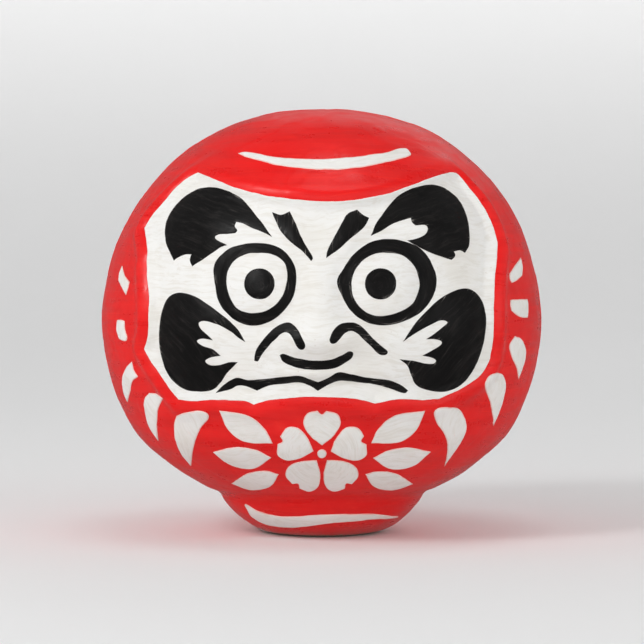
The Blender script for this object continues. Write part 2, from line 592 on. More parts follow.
def build_shell(name, th0, th1, n_th, n_t):
    """A closed half shell: dense outside, plain inside, floor with its half opening."""
    th = np.linspace(th0, th1, n_th + 1)
    t = np.linspace(0, 1, n_t + 1)
    outer = body_point(th[None, :], t[:-1, None]).reshape(-1, 3)
    pole = body_point(np.array([0.0]), np.array([1.0]))
    ci = n_th // 4
    th_i = th[::4]
    t_i = t[::4]
    r_i, z_i = profile(t_i[:-1], -WALL)
    rel = relief(*np.broadcast_arrays(th_i[None, :], profile(t_i[:-1])[1][:, None]))
    rho = r_i[:, None] + rel
    inner = np.stack([rho * np.sin(th_i), -DEPTH_RATIO * rho * np.cos(th_i),
                      np.broadcast_to(z_i[:, None], rho.shape)], axis=-1).reshape(-1, 3)
    pole_in = np.array([[0.0, 0.0, 160.0 - WALL]])
    hole0 = np.c_[HOLE_R * np.sin(th), -HOLE_R * np.cos(th), np.full(len(th), 15.5)]
    hole1 = np.c_[HOLE_R * np.sin(th_i), -HOLE_R * np.cos(th_i),
                  np.full(len(th_i), FLOOR_TOP)]
    parts = [outer, pole, inner, pole_in, hole0, hole1]
    starts = np.cumsum([0] + [len(p) for p in parts])
    w = n_th + 1
    wi = ci + 1

    def o(i, j):
        return starts[1] if i == n_t else starts[0] + i * w + j

    def c(i, j):
        return starts[3] if i == n_t // 4 else starts[2] + i * wi + j

    faces = []
    for i in range(n_t - 1):
        row = starts[0] + i * w
        faces += [(row + j, row + j + 1, row + w + j + 1, row + w + j) for j in range(n_th)]
    faces += [(o(n_t - 1, j), o(n_t - 1, j + 1), o(n_t, 0)) for j in range(n_th)]
    for i in range(n_t // 4 - 1):
        faces += [(c(i, j), c(i + 1, j), c(i + 1, j + 1), c(i, j + 1)) for j in range(ci)]
    last = n_t // 4 - 1
    faces += [(c(last, j), c(last + 1, 0), c(last, j + 1)) for j in range(ci)]
    h0, h1 = starts[4], starts[5]
    faces += [(h0 + j, h0 + j + 1, o(0, j + 1), o(0, j)) for j in range(n_th)]
    faces += stitch([h0 + j for j in range(w)], [h1 + j for j in range(wi)])
    faces += [(h1 + j, c(0, j), c(0, j + 1), h1 + j + 1) for j in range(ci)]
    for j, ji in ((0, 0), (n_th, ci)):
        faces += stitch([o(i, j) for i in range(n_t + 1)],
                        [c(i, ji) for i in range(n_t // 4 + 1)])
        faces.append((h0 + j, o(0, j), c(0, ji), h1 + ji))
    faces = [tuple(int(v) for v in f) for f in faces]
    return make_object(name, np.vstack(parts), faces)


def resample(pts, step):
    """A closed outline with even spacing near step, corners kept."""
    p = np.asarray(pts, float)
    q = np.vstack([p, p[:1]])
    d = np.diff(q, axis=0)
    length = np.hypot(d[:, 0], d[:, 1])
    keep = length > 1e-6
    p, d, length = p[keep], d[keep], length[keep]
    a = np.roll(d, 1, axis=0)
    turn = np.abs(np.arctan2(a[:, 0] * d[:, 1] - a[:, 1] * d[:, 0], (a * d).sum(1)))
    corners = [i for i in range(len(p)) if turn[i] > 0.5]
    if not corners:
        corners = [0]
    out = []
    for k, i in enumerate(corners):
        j = corners[(k + 1) % len(corners)]
        idx = list(range(i, j)) if j > i else list(range(i, len(p))) + list(range(0, j))
        run = np.vstack([p[idx], p[j][None]])
        s = np.r_[0, np.cumsum(np.hypot(*np.diff(run, axis=0).T))]
        n = max(1, int(round(s[-1] / step)))
        at = np.linspace(0, s[-1], n + 1)[:-1]
        out.append(np.c_[np.interp(at, s, run[:, 0]), np.interp(at, s, run[:, 1])])
    return np.vstack(out)


def roughen(pts, seed, amount):
    """Slight hand wobble along an outline."""
    p = np.asarray(pts, float)
    q = np.c_[p, np.full(len(p), seed * 3.7)]
    return p + amount * np.c_[noise3(q, 3.1, 21) + 0.5 * noise3(q, 1.3, 22),
                              noise3(q, 3.1, 23) + 0.5 * noise3(q, 1.3, 24)]


def film(name, surface, shapes, base, thick, step=0.55, grid=0.95, wobble=0.10, seed=1,
         flow=None, crown=0.0, sink=0.16):
    """A closed coat of paint over a surface: one or more outlines, each with its holes.

    base is the height of the coat's underside over the surface and thick its own height,
    which rises from the edge the way wet paint does. The underside is sunk a little."""
    verts, faces, edge, flows = [], [], [], []
    offset = 0
    for k, shape in enumerate(shapes):
        outer, holes = shape if isinstance(shape, tuple) else (shape, [])
        loops = [surface.flatten(roughen(resample(q, step), seed + k, wobble))
                 for q in [outer] + list(holes)]
        bound = np.vstack(loops)
        links, n = [], 0
        for q in loops:
            m = len(q)
            links += [(n + i, n + (i + 1) % m) for i in range(m)]
            n += m
        lo, hi = bound.min(0), bound.max(0)

        def depth(p):
            d = signed_distance(p[:, 0], p[:, 1], loops[0])
            for q in loops[1:]:
                d = np.minimum(d, -signed_distance(p[:, 0], p[:, 1], q))
            return d

        inner = []
        for q in loops:
            tangent = np.roll(q, -1, axis=0) - np.roll(q, 1, axis=0)
            tangent /= np.maximum(np.linalg.norm(tangent, axis=1), 1e-9)[:, None]
            normal = np.c_[-tangent[:, 1], tangent[:, 0]]
            for off in (0.22, 0.5):
                for sign in (-1, 1):
                    c = q + sign * off * normal
                    inner.append(c[depth(c) > 0.9 * off])
        gx = np.arange(lo[0], hi[0], grid)
        gz = np.arange(lo[1], hi[1], grid * 0.866)
        g = np.array([(x + (grid / 2 if j % 2 else 0), z) for j, z in enumerate(gz)
                      for x in gx])
        if len(g):
            inner.append(g[depth(g) > 0.5 + 0.45 * grid])
        pts = np.vstack([bound] + inner)
        got = delaunay_2d_cdt([Vector(map(float, v)) for v in pts], links, [], 0, 1e-5)
        p2 = np.array([tuple(v) for v in got[0]])
        tri = np.array(got[2])
        mid = p2[tri].mean(axis=1)
        tri = tri[depth(mid) > 1e-4]
        used = np.unique(tri)
        remap = -np.ones(len(p2), int)
        remap[used] = np.arange(len(used))
        p2, tri = p2[used], remap[tri]
        d = np.maximum(depth(p2), 0.0)
        h = thick * (0.28 + 0.72 * (1 - np.exp(-d / 0.22)))
        if crown:
            h = h + crown * smooth(0.0, 3.0, d)
        top = surface.point(p2, base + h)
        bottom = surface.point(p2, np.full(len(p2), base - sink))
        area = np.cross(np.c_[p2[tri[:, 1]] - p2[tri[:, 0]], np.zeros(len(tri))],
                        np.c_[p2[tri[:, 2]] - p2[tri[:, 0]], np.zeros(len(tri))])[:, 2]
        tri = np.where((area > 0)[:, None], tri, tri[:, ::-1])
        m = len(p2)
        sides = {}
        for a, b, c in tri.tolist():
            for e in ((a, b), (b, c), (c, a)):
                if (e[1], e[0]) in sides:
                    del sides[(e[1], e[0])]
                else:
                    sides[e] = True
        faces += [tuple(v + offset for v in f) for f in tri.tolist()]
        faces += [tuple(v + offset + m for v in f[::-1]) for f in tri.tolist()]
        faces += [(a + offset, a + offset + m, b + offset + m, b + offset)
                  for a, b in sides]
        verts += [top, bottom]
        edge += [d, np.zeros(m)]
        if flow is not None:
            f = flow(top)
            flows += [f, f]
        offset += 2 * m
    attributes = {"edge": np.concatenate(edge)}
    if flows:
        attributes["flow"] = np.vstack(flows)
    return make_object(name, np.vstack(verts), faces, attributes, recalc=False)


def band(name, half_width, thick, z_low, seed):
    """The joining strip: a closed raised band along the seam, over the crown."""
    n_len, n_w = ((440, 14))
    t0 = float(np.interp(z_low, PROFILE[:, 1], T_KEYS))
    t = np.linspace(t0, 1, n_len // 2 + 1)
    r, z = profile(t)
    phi_r = np.arctan2(r, z - 80.0)
    phi = np.r_[-phi_r[:-1], 0.0, phi_r[:-1][::-1]]
    n_len = len(phi) - 1
    s_len = np.r_[t[:-1], 1.0, 2.0 - t[:-1][::-1]] * PROFILE_L
    w = np.linspace(-1, 1, n_w + 1)
    w = np.sign(w) * (1 - (1 - np.abs(w)) ** 1.7)
    q = np.c_[s_len, np.zeros(len(s_len)), np.full(len(s_len), seed)]
    lo = -half_width + 0.55 * noise3(q, 9.0, 31) + 0.3 * noise3(q, 2.6, 32)
    hi = half_width + 0.55 * noise3(q, 9.0, 33) + 0.3 * noise3(q, 2.6, 34)
    y = lo[:, None] + (hi - lo)[:, None] * (w[None, :] + 1) / 2
    ph = np.broadcast_to(phi[:, None], y.shape)
    sx, sz = np.sin(ph), np.cos(ph)
    a, b = np.full(y.shape, 20.0), np.full(y.shape, 120.0)
    for _ in range(40):
        m = (a + b) / 2
        x3, z3 = m * sx, 80.0 + m * sz
        r3 = np.where(z3 > PROFILE[-1, 1], 0.0, body_radius(z3))
        outside = np.hypot(x3, y / DEPTH_RATIO) > r3
        b = np.where(outside, m, b)
        a = np.where(outside, a, m)
    p = np.stack([a * sx, y, 80.0 + a * sz], axis=-1)
    flat = p.reshape(-1, 3)
    r0 = np.hypot(flat[:, 0], flat[:, 1] / DEPTH_RATIO)
    theta = np.arctan2(flat[:, 0], -flat[:, 1] / DEPTH_RATIO)
    normal = np.c_[flat[:, 0], flat[:, 1] / DEPTH_RATIO**2, np.zeros(len(flat))]
    dz = np.gradient(PROFILE[:, 0], PROFILE[:, 1])
    slope = np.interp(flat[:, 2], PROFILE[:, 1], dz)
    normal[:, 2] = -slope * np.maximum(r0, 1e-6)
    normal /= np.maximum(np.linalg.norm(normal, axis=1), 1e-9)[:, None]
    crown = smooth(12.0, 4.0, r0)[:, None]
    normal = normal * (1 - crown) + np.array([[0, 0, 1.0]]) * crown
    normal /= np.linalg.norm(normal, axis=1)[:, None]
    k = unevenness(flat) + relief(theta, np.minimum(flat[:, 2], 159.9))
    d = np.minimum(y - lo[:, None], hi[:, None] - y).reshape(-1)
    # lengths of strip lap one another every few centimetres
    lap = 0.10 * smooth(-0.6, 0.6, (np.abs(s_len[:, None] * np.ones(y.shape)
                                           + 0.35 * y - 30) % 46.0) - 23.0).reshape(-1)
    h = (thick + lap) * smooth(0.0, 1.1, d) + 0.015
    top = flat + normal * (k + h)[:, None]
    bottom = flat + normal * (k - 0.35)[:, None]
    m = len(flat)
    cols = n_w + 1
    faces = []
    for i in range(n_len):
        for j in range(n_w):
            v = i * cols + j
            faces.append((v, v + cols, v + cols + 1, v + 1))
            faces.append((m + v, m + v + 1, m + v + cols + 1, m + v + cols))
    for j in (0, n_w):
        for i in range(n_len):
            v = i * cols + j
            faces.append((v, v + cols, m + v + cols, m + v))
    for i in (0, n_len):
        for j in range(n_w):
            v = i * cols + j
            faces.append((v, v + 1, m + v + 1, m + v))
    return make_object(name, np.vstack([top, bottom]), faces)


# ---------------------------------------------------------------- shells, strip, weight
N_TH, N_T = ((320, 280))
shell_front = build_shell("shell_front_paper", -math.pi / 2, math.pi / 2, N_TH, N_T)
shell_rear = build_shell("shell_rear_paper", math.pi / 2, 1.5 * math.pi,
                         200, 200)
strip = band("seam_strip_paper", 6.0, 0.24, 18.4, 5.0)


def clay_weight():
    """The clay weight with its painted lobe, a fillet of paint that closes the joint under
    the body, and the thumbed spigot that stands inside the shell."""
    n = 240
    th = np.linspace(0, 2 * math.pi, n, endpoint=False)
    rings, skin = [], []

    def ring(r, z, painted):
        rings.append(np.c_[r * np.sin(th), -r * np.cos(th), np.full(n, float(z))])
        skin.append(np.full(n, float(painted)))

    for r in np.linspace(2, 16.0, 9):
        ring(r, 0.6, 0)
    for r, z in ((16.12, 0.5), (16.12, 0.08), (16.25, 0.0), (17.0, 0.0)):
        ring(r, z, 0)
    s_join = float(np.interp(13.2, FOOT_PTS[:, 1], FOOT_S))
    for s in np.linspace(0, s_join, 44):
        rings.append(foot_point(th, np.full(n, s)))
        skin.append(np.full(n, 1.0))
    t_join = float(np.interp(17.7, PROFILE[:, 1], T_KEYS))
    p0 = foot_point(th, np.full(n, s_join))
    p2 = body_point(th, np.full(n, t_join), 0.0)
    mid = foot_point(th, np.full(n, FOOT_S[-1] * 0.99))
    q = np.c_[th.reshape(-1, 1) * 0 + 9 * np.cos(th)[:, None], 9 * np.sin(th)[:, None],
              np.zeros(n)]
    lumpy = 0.45 * noise3(q, 2.2, 43)
    mid[:, 2] = 16.1 + lumpy
    for k in range(1, 15):
        u = k / 14
        rings.append((1 - u) ** 2 * p0 + 2 * u * (1 - u) * mid + u * u * p2)
        skin.append(np.full(n, 1.0))
    rings.append(body_point(th, np.full(n, t_join + 0.004), -0.7))
    skin.append(np.full(n, 1.0))
    for r, z in ((37.0, 15.45), (34.0, 15.45), (29.85, 15.5), (29.85, 17.0), (29.85, 19.0),
                 (29.85, 21.4), (29.5, 22.1), (28.9, 22.5), (27, 22.5), (24.0, 22.5)):
        ring(r, z, 0)
    for k in range(1, 24):
        r = 24.0 * (1 - k / 24)
        ring(r, 22.5 - 5.0 * (1 - (r / 24.0) ** 2), 0)
    v = np.vstack([[[0, 0, 0.6]], [[0, 0, 17.5]]] + rings)
    top = (v[:, 2] > 18.5) & (np.hypot(v[:, 0], v[:, 1]) < 28.0)
    v[top, 2] += 0.5 * noise3(v[top], 7.0, 41) + 0.2 * noise3(v[top], 3.0, 42)
    k = len(rings)
    faces = []
    for j in range(n):
        jn = (j + 1) % n
        faces.append((0, 2 + j, 2 + jn))
        faces.append((1, 2 + (k - 1) * n + jn, 2 + (k - 1) * n + j))
        for i in range(k - 1):
            faces.append((2 + i * n + j, 2 + (i + 1) * n + j, 2 + (i + 1) * n + jn,
                          2 + i * n + jn))
    return make_object("clay_weight", v, faces,
                       {"skin": np.concatenate([[0.0, 0.0]] + skin)})


weight = clay_weight()


def patch():
    """A torn paper disc, flush with the flat it sits in."""
    n_r, n_a = 26, 144
    th = np.linspace(0, 2 * math.pi, n_a, endpoint=False)
    q = np.c_[np.cos(th) * 9, np.sin(th) * 9, np.zeros(n_a)]
    rim = 15.75 + 0.16 * noise3(q, 4.0, 51) + 0.09 * noise3(q, 1.3, 52)
    rr = np.linspace(0, 1, n_r + 1)[1:]
    x = (rr[:, None] * rim) * np.sin(th)
    y = -(rr[:, None] * rim) * np.cos(th)
    p = np.c_[x.ravel(), y.ravel(), np.zeros(x.size)]
    edge = ((1 - rr)[:, None] * rim).ravel()
    crease = (0.05 * noise3(p, 4.5, 53) + 0.03 * noise3(p, 1.8, 54)
              + 0.06 * np.exp(-(noise3(p, 7.0, 55) / 0.05) ** 2))
    z = 0.05 + 0.04 + crease * smooth(0.0, 1.5, edge) + 0.18 * smooth(0.7, 0.0, edge)
    low = np.vstack([[0, 0, 0.09 + crease[:1].mean()], np.c_[p[:, :2], np.maximum(z, 0.0)]])
    high = low.copy()
    high[:, 2] = 0.56
    m = len(low)
    faces = []
    for j in range(n_a):
        jn = (j + 1) % n_a
        faces.append((0, 1 + jn, 1 + j))
        faces.append((m, m + 1 + j, m + 1 + jn))
        for i in range(n_r - 1):
            a, b = 1 + i * n_a, 1 + (i + 1) * n_a
            faces.append((a + j, a + jn, b + jn, b + j))
            faces.append((m + a + j, m + b + j, m + b + jn, m + a + jn))
        a = 1 + (n_r - 1) * n_a
        faces.append((a + j, a + jn, m + a + jn, m + a + j))
    return make_object("underside_patch", np.vstack([low, high]), faces)


disc = patch()


# ---------------------------------------------------------------- painted marks
def along(ax, az, bx, bz):
    """Coordinates that run along a stroke from (ax, az) to (bx, bz), for its brush marks."""
    d = np.array([bx - ax, bz - az], float)
    d /= np.hypot(*d)

    def flow(p):
        x, z = p[:, 0] - ax, p[:, 2] - az
        return np.c_[x * d[0] + z * d[1], -x * d[1] + z * d[0], np.zeros(len(p))]

    return flow


def around(cx, cz):
    def flow(p):
        x, z = p[:, 0] - cx, p[:, 2] - cz
        rho = np.hypot(x, z)
        return np.c_[np.arctan2(z, x) * 12.0, rho, np.zeros(len(p))]

    return flow


B, F = BodySurface, FootSurface
COAT_GRID = 0.9
face = film("face_white", B, [outline(WINDOW, 6)], 0.0, COAT_T, grid=COAT_GRID,
            flow=along(0, 90, 10, 90), seed=2, wobble=0.12)
hood = film("hood_stroke", B, [outline(HOOD)], 0.0, COAT_T, flow=along(-30, 141, 30, 141),
            seed=3)
robe_r = film("robe_marks_right", B, [outline(r) for r in ROBE_RIGHT], 0.0, COAT_T,
              flow=along(50, 30, 74, 100), seed=5, crown=0.06)
robe_l = film("robe_marks_left", B, [outline(r) for r in ROBE_LEFT], 0.0, COAT_T,
              flow=along(-50, 30, -74, 100), seed=15, crown=0.06)
petals = [outline(spun(PETAL, 72 * k, BLOSSOM_C)) for k in range(5)]
blossom = film("blossom_white", B, petals + [circle(*BLOSSOM_C, PISTIL_R, 32)], 0.0, COAT_T,
               flow=around(*BLOSSOM_C), seed=25, crown=0.08)
leaves = film("leaf_strokes", B,
              [outline(r) for r in LEAVES] + [outline(mirrored(r)) for r in LEAVES],
              0.0, COAT_T, flow=along(-30, 34, 30, 34), seed=35, crown=0.06)
INK = dict(base=COAT_T, sink=0.12, thick=INK_T)
brow_r = film("brow_ink_right", B, [outline(BROW_RIGHT)], seed=45,
              flow=along(17, 112, 52, 124), **INK)
brow_l = film("brow_ink_left", B, [outline(BROW_LEFT)], seed=46,
              flow=along(-17, 112, -52, 124), **INK)
frown = film("frown_ink", B, [outline(FROWN_LEFT), outline(FROWN_RIGHT)], seed=47,
             flow=along(0, 100, 0, 122), **INK)
ring_l = film("eye_ring_ink_left", B, [(closed_loop(RING_LEFT), [closed_loop(RING_LEFT_HOLE)])],
              seed=49, flow=around(-23.4, 95.2), **INK)
ring_r = film("eye_ring_ink_right", B,
              [(closed_loop(RING_RIGHT), [closed_loop(RING_RIGHT_HOLE)])],
              seed=50, flow=around(22.4, 95.2), **INK)
pupil_l = film("pupil_ink_left", B, [circle(*PUPIL_LEFT)], seed=51,
               flow=around(*PUPIL_LEFT[:2]), crown=0.25, **INK)
pupil_r = film("pupil_ink_right", B, [circle(*PUPIL_RIGHT)], seed=52,
               flow=around(*PUPIL_RIGHT[:2]), crown=0.25, **INK)
nose = film("nose_ink", B, [outline(NOSE_LEFT), outline(NOSE_RIGHT)], seed=53,
            flow=along(-24, 75, 24, 75), **INK)
lip = film("lip_ink", B, [outline(LIP)], seed=55, flow=along(-14, 68, 12, 68), **INK)
mouth = film("mouth_ink", B, [outline(MOUTH)], seed=56, flow=along(-36, 60, 32, 60), **INK)
mou_r = film("moustache_ink_right", B, [outline(MOUSTACHE_RIGHT)], seed=57,
             flow=along(30, 62, 54, 88), **INK)
mou_l = film("moustache_ink_left", B, [outline(MOUSTACHE_LEFT)], seed=58,
             flow=along(-30, 62, -54, 88), **INK)
foot_mark = film("foot_stroke", F, [brush_outline(FOOT_LINE)], 0.0, COAT_T, seed=59,
                 flow=along(-28, 9, 28, 9), crown=0.05)

# piece, the CAD node it stands for, the record's slot
STANDS_FOR = [
    (shell_front, "front_shell", "red_paper"), (shell_rear, "rear_shell", "red_paper"),
    (strip, "outer_seam_strip", "red_strip"), (weight, "base_weight", "painted_clay"),
    (disc, "base_patch", "kraft_paper"), (foot_mark, "foot_line", "white_coat"),
    (face, "face_coat", "white_coat"), (hood, "hood_line", "white_coat"),
    (robe_r, "robe_strokes_right", "white_coat"), (robe_l, "robe_strokes_left", "white_coat"),
    (blossom, "belly_blossom", "white_coat"), (leaves, "belly_leaves", "white_coat"),
    (brow_r, "brow_right", "black_paint"), (brow_l, "brow_left", "black_paint"),
    (frown, "frown_lines", "black_paint"),
    (ring_l, "eye_ring_left", "black_paint"), (ring_r, "eye_ring_right", "black_paint"),
    (pupil_l, "pupil_left", "black_paint"), (pupil_r, "pupil_right", "black_paint"),
    (nose, "nose_lines", "black_paint"), (lip, "lip_line", "black_paint"),
    (mouth, "mouth_line", "black_paint"),
    (mou_r, "moustache_right", "black_paint"), (mou_l, "moustache_left", "black_paint"),
]
for piece, node, slot in STANDS_FOR:
    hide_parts(node)
    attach(piece, "root")


# ---------------------------------------------------------------- materials
class Nodes:
    """Short hand for building a node tree."""

    def __init__(self, name):
        self.mat = bpy.data.materials.new(name)
        self.mat.use_nodes = True
        self.nt = self.mat.node_tree
        self.nt.nodes.clear()
        self.out = self.nt.nodes.new("ShaderNodeOutputMaterial")
        self.bsdf = self.nt.nodes.new("ShaderNodeBsdfPrincipled")
        self.nt.links.new(self.bsdf.outputs[0], self.out.inputs[0])
        tc = self.nt.nodes.new("ShaderNodeTexCoord")
        self.p = self.vec("SCALE", tc.outputs["Object"], scale=1000.0)

    def put(self, socket, value):
        if isinstance(value, bpy.types.NodeSocket):
            self.nt.links.new(value, socket)
        elif hasattr(socket.default_value, "__len__") and not hasattr(value, "__len__"):
            socket.default_value = [value] * len(socket.default_value)
        elif hasattr(socket.default_value, "__len__") and len(value) == 3 \
                and len(socket.default_value) == 4:
            socket.default_value = (*value, 1.0)
        else:
            socket.default_value = value

    def vec(self, op, a, b=None, scale=None):
        n = self.nt.nodes.new("ShaderNodeVectorMath")
        n.operation = op
        self.put(n.inputs[0], a)
        if b is not None:
            self.put(n.inputs[1], b)
        if scale is not None:
            self.put(n.inputs["Scale"], scale)
        return n.outputs[0]

    def math(self, op, a, b=None, clamp=False):
        n = self.nt.nodes.new("ShaderNodeMath")
        n.operation = op
        n.use_clamp = clamp
        self.put(n.inputs[0], a)
        if b is not None:
            self.put(n.inputs[1], b)
        return n.outputs[0]

    def noise(self, p, size, detail=3.0, rough=0.55, distort=0.0):
        """Noise whose features are about size mm across."""
        n = self.nt.nodes.new("ShaderNodeTexNoise")
        self.put(n.inputs["Vector"], p)
        n.inputs["Scale"].default_value = 1.0 / size
        n.inputs["Detail"].default_value = detail
        n.inputs["Roughness"].default_value = rough
        n.inputs["Distortion"].default_value = distort
        return n.outputs[0]

    def voronoi(self, p, size, feature="DISTANCE_TO_EDGE"):
        n = self.nt.nodes.new("ShaderNodeTexVoronoi")
        n.feature = feature
        self.put(n.inputs["Vector"], p)
        n.inputs["Scale"].default_value = 1.0 / size
        return n.outputs[0]

    def ramp(self, x, lo, hi, out_lo=0.0, out_hi=1.0):
        n = self.nt.nodes.new("ShaderNodeMapRange")
        n.interpolation_type = "SMOOTHSTEP"
        self.put(n.inputs[0], x)
        for k, v in ((1, lo), (2, hi), (3, out_lo), (4, out_hi)):
            n.inputs[k].default_value = v
        return n.outputs[0]

    def mix(self, f, a, b):
        n = self.nt.nodes.new("ShaderNodeMix")
        n.data_type = "RGBA"
        self.put(n.inputs[0], f)
        self.put(n.inputs[6], a)
        self.put(n.inputs[7], b)
        return n.outputs[2]

    def attribute(self, name, vector=False):
        n = self.nt.nodes.new("ShaderNodeAttribute")
        n.attribute_name = name
        return n.outputs["Vector" if vector else "Fac"]

    def axis(self, which, p=None):
        n = self.nt.nodes.new("ShaderNodeSeparateXYZ")
        self.put(n.inputs[0], p if p is not None else self.p)
        return n.outputs["XYZ".index(which)]

    def stretch(self, p, x, y, z):
        return self.vec("MULTIPLY", p, (x, y, z))

    def bump(self, height, mm, strength=1.0, normal=None):
        n = self.nt.nodes.new("ShaderNodeBump")
        n.inputs["Strength"].default_value = strength
        n.inputs["Distance"].default_value = mm * MM
        self.put(n.inputs["Height"], height)
        if normal is not None:
            self.put(n.inputs["Normal"], normal)
        return n.outputs[0]

    def finish(self, colour, rough, normal=None, spec=0.5, **more):
        self.put(self.bsdf.inputs["Base Color"], colour)
        self.put(self.bsdf.inputs["Roughness"], rough)
        self.put(self.bsdf.inputs["Specular IOR Level"], spec)
        if normal is not None:
            self.put(self.bsdf.inputs["Normal"], normal)
        for k, v in more.items():
            self.put(self.bsdf.inputs[k], v)
        return self.mat


def paper_height(n):
    """Height of pasted paper under paint: fibres, laps of torn scraps and fine grain."""
    warp = n.vec("ADD", n.p, n.vec("SCALE", n.noise_colour(n.p, 6.0), scale=5.0))
    scraps = n.ramp(n.voronoi(warp, 24.0), 0.0, 0.16)
    fibre = n.noise(n.stretch(n.p, 1.0, 1.0, 2.6), 1.5, 4.0, 0.65, 0.6)
    grain = n.noise(n.p, 0.42, 2.0, 0.5)
    return scraps, fibre, grain


def _noise_colour(self, p, size):
    n = self.nt.nodes.new("ShaderNodeTexNoise")
    self.put(n.inputs["Vector"], p)
    n.inputs["Scale"].default_value = 1.0 / size
    n.inputs["Detail"].default_value = 2.0
    return self.vec("SUBTRACT", n.outputs["Color"], (0.5, 0.5, 0.5))


Nodes.noise_colour = _noise_colour

RED = (0.870, 0.0064, 0.0060)
RED_DEEP = (0.60, 0.0036, 0.0036)
RED_LIGHT = (0.92, 0.019, 0.009)
WHITE = (0.845, 0.838, 0.815)
WHITE_WARM = (0.775, 0.742, 0.672)
BLACK = (0.0042, 0.0038, 0.0038)
BLACK_THIN = (0.020, 0.017, 0.016)
CLAY = (0.42, 0.27, 0.17)
SHEEN = 0.36               # how strongly the red lacquer reflects


def red_nodes(n):
    broad = n.noise(n.p, 46.0, 2.0)
    mottle = n.noise(n.p, 6.5, 5.0, 0.62)
    # broad brush marks laid round the body, with the bristle lines inside them
    swept = n.vec("ADD", n.p, n.vec("SCALE", n.noise_colour(n.p, 48.0), scale=9.0))
    marks = n.noise(n.stretch(swept, 0.030, 0.030, 0.34), 1.0, 2.0, 0.50)
    bristle = n.noise(n.stretch(swept, 0.055, 0.055, 1.5), 1.0, 2.0, 0.55)
    colour = n.mix(n.ramp(broad, 0.32, 0.72, 0.0, 0.30), RED, RED_DEEP)
    colour = n.mix(n.ramp(mottle, 0.50, 0.78, 0.0, 0.38), colour, RED_LIGHT)
    colour = n.mix(n.ramp(marks, 0.66, 0.24, 0.0, 0.42), colour, RED_DEEP)
    colour = n.mix(n.ramp(bristle, 0.54, 0.74, 0.0, 0.45), colour, RED_LIGHT)
    rough = n.math("ADD", n.ramp(mottle, 0.3, 0.75, 0.27, 0.38),
                   n.ramp(marks, 0.35, 0.65, -0.03, 0.08))
    scraps, fibre, grain = paper_height(n)
    b = n.bump(scraps, 0.05, 0.5)
    b = n.bump(fibre, 0.026, 0.7, b)
    b = n.bump(marks, 0.07, 0.5, b)
    b = n.bump(bristle, 0.035, 0.7, b)
    b = n.bump(grain, 0.010, 0.5, b)
    return colour, rough, b, mottle


def red_paint():
    n = Nodes("vermilion_on_paper")
    colour, rough, b, mottle = red_nodes(n)
    # rubbed thin where hands and shelves touch it: low on the body
    z = n.axis("Z")
    low = n.ramp(z, 52.0, 20.0)
    scuff = n.math("MULTIPLY", n.ramp(n.noise(n.p, 3.2, 6.0, 0.72), 0.585, 0.68), low)
    colour = n.mix(n.math("MULTIPLY", scuff, 0.40), colour, (0.52, 0.09, 0.05))
    rough = n.math("ADD", rough, n.math("MULTIPLY", scuff, 0.22))
    return n.finish(colour, rough, b, SHEEN)


def strip_paint():
    n = Nodes("vermilion_on_strip")
    colour, rough, b, _ = red_nodes(n)
    b = n.bump(n.noise(n.stretch(n.p, 0.5, 3.0, 0.5), 1.1, 3.0, 0.6), 0.05, 0.6, b)
    return n.finish(colour, rough, b, SHEEN)


def raw_shell():
    n = Nodes("raw_pasted_paper")
    fibre = n.noise(n.p, 1.3, 6.0, 0.7, 0.8)
    sheet = n.noise(n.p, 14.0, 3.0)
    colour = n.mix(n.ramp(sheet, 0.35, 0.7), (0.62, 0.55, 0.43), (0.72, 0.67, 0.56))
    colour = n.mix(n.ramp(fibre, 0.45, 0.75, 0.0, 0.5), colour, (0.45, 0.38, 0.28))
    b = n.bump(fibre, 0.15, 0.9)
    return n.finish(colour, n.ramp(fibre, 0.3, 0.8, 0.8, 0.95), b, 0.25)


def clay_paint():
    n = Nodes("vermilion_on_clay")
    colour, rough, b, mottle = red_nodes(n)
    z = n.axis("Z")
    chip = n.noise(n.p, 2.4, 6.0, 0.7)
    edge_z = n.math("ADD", z, n.math("MULTIPLY", n.math("SUBTRACT", chip, 0.5), 4.0))
    bare = n.ramp(edge_z, 0.95, 0.55)
    bare = n.math("MAXIMUM", bare, n.math("SUBTRACT", 1.0, n.attribute("skin")))
    grit = n.noise(n.p, 0.7, 5.0, 0.7)
    clay = n.mix(n.ramp(grit, 0.35, 0.7), CLAY, (0.55, 0.38, 0.25))
    thin = n.ramp(edge_z, 3.4, 0.9, 0.0, 0.30)
    colour = n.mix(thin, colour, (0.50, 0.07, 0.04))
    colour = n.mix(bare, colour, clay)
    rough = n.math("ADD", rough, n.math("MULTIPLY", bare, 0.42))
    b = n.bump(grit, 0.12, 0.7, b)
    return n.finish(colour, rough, b, SHEEN)


